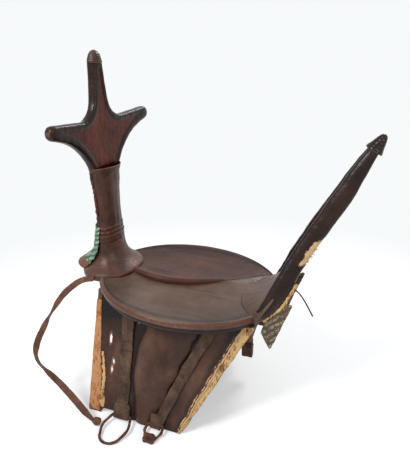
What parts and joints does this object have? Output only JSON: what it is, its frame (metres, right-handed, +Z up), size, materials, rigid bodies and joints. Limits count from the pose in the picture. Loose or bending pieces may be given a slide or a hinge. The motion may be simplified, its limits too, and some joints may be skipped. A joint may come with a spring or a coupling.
{
  "type": "camel riding saddle",
  "caption": "Wooden camel riding saddle covered in leather, with a cross-shaped pommel on a bound neck, an oval two-piece seat, a tall leaning cantle and splayed side boards.",
  "frame": {"origin": "on the floor under the middle of the rigid saddle, without its cords", "axes": "+Z up, +X towards the cantle at the rear, +Y towards the rider's right"},
  "size_m": [0.679, 0.4968, 0.7486],
  "materials": {
    "carved_wood": "hand-carved, dull",
    "seat_hide": "smooth, polished by use",
    "side_hide": "worn, lightly scuffed",
    "red_hide": "matt, wrinkled",
    "dark_hide": "glossy, rubbed dark",
    "worn_hide": "scuffed to the raw hide",
    "painted_hide": "dyed green with stamped pattern",
    "rawhide": "raw, frayed",
    "strap_hide": "flat, greyish, creased",
    "thong_hide": "cut thong, matt"
  },
  "bodies": {
    "root": {"arm_cap_left": "worn_hide", "arm_cap_right": "worn_hide", "cantle_apron": "seat_hide", "cantle_back_panel": "red_hide", "cantle_cap": "dark_hide", "cantle_core": "carved_wood", "cantle_front_panel": "red_hide", "cantle_peg": "carved_wood", "cantle_rail_left": "dark_hide", "cantle_rail_right": "dark_hide", "cantle_thong": "thong_hide", "cantle_welt_left": "worn_hide", "cantle_welt_right": "worn_hide", "cross_cover": "dark_hide", "cross_panel_back": "red_hide", "cross_panel_front": "red_hide", "crupper_strap": "strap_hide", "front_binding_left": "rawhide", "front_binding_right": "rawhide", "front_bridge": "carved_wood", "front_leg_left": "carved_wood", "front_leg_right": "carved_wood", "front_strap_left": "strap_hide", "front_strap_right": "strap_hide", "neck_wraps": "dark_hide", "pommel_bib": "painted_hide", "pommel_core": "carved_wood", "pommel_foot": "seat_hide", "pommel_peg": "carved_wood", "pommel_sleeve": "red_hide", "rear_bridge": "carved_wood", "rear_leg_left": "carved_wood", "rear_leg_right": "carved_wood", "rear_rawhide_left": "rawhide", "rear_rawhide_right": "rawhide", "rear_strap_left": "strap_hide", "rear_strap_right": "strap_hide", "seat_board_left": "carved_wood", "seat_board_right": "carved_wood", "seat_cover_left": "seat_hide", "seat_cover_right": "seat_hide", "side_board_left": "carved_wood", "side_board_right": "carved_wood", "side_cover_left": "side_hide", "side_cover_right": "side_hide", "sleeve_cuff": "worn_hide", "tie_knot": "thong_hide", "tie_strap": "thong_hide", "top_prong_cap": "dark_hide"},
    "front_ring_left": {"front_ring_left": "thong_hide"},
    "front_ring_right": {"front_ring_right": "thong_hide"},
    "rear_loop_left": {"rear_loop_left": "thong_hide"},
    "rear_loop_right": {"rear_loop_right": "thong_hide"},
    "rear_flap_left": {"rear_flap_left": "painted_hide"},
    "rear_flap_right": {"rear_flap_right": "painted_hide"}
  },
  "joints": [
    {"name": "front_ring_left_swing", "type": "hinge", "parent": "root", "child": "front_ring_left", "pos_m": [-0.14091, -0.17407, 0.01315], "axis": [-1, 0, 0], "range_deg": [-50, 85]},
    {"name": "front_ring_right_swing", "type": "hinge", "parent": "root", "child": "front_ring_right", "pos_m": [-0.14091, 0.17407, 0.01315], "axis": [1, 0, 0], "range_deg": [-50, 85]},
    {"name": "rear_loop_left_swing", "type": "hinge", "parent": "root", "child": "rear_loop_left", "pos_m": [-0.06091, -0.17407, 0.01315], "axis": [-1, 0, 0], "range_deg": [-38, 60]},
    {"name": "rear_loop_right_swing", "type": "hinge", "parent": "root", "child": "rear_loop_right", "pos_m": [-0.06091, 0.17407, 0.01315], "axis": [1, 0, 0], "range_deg": [-38, 60]},
    {"name": "rear_flap_left_swing", "type": "hinge", "parent": "root", "child": "rear_flap_left", "pos_m": [0.13667, -0.087, 0.25699], "axis": [-0.7126, -0.197, -0.6733], "range_deg": [-8, 60]},
    {"name": "rear_flap_right_swing", "type": "hinge", "parent": "root", "child": "rear_flap_right", "pos_m": [0.13667, 0.087, 0.25699], "axis": [0.7126, -0.197, 0.6733], "range_deg": [-8, 60]}
  ]
}
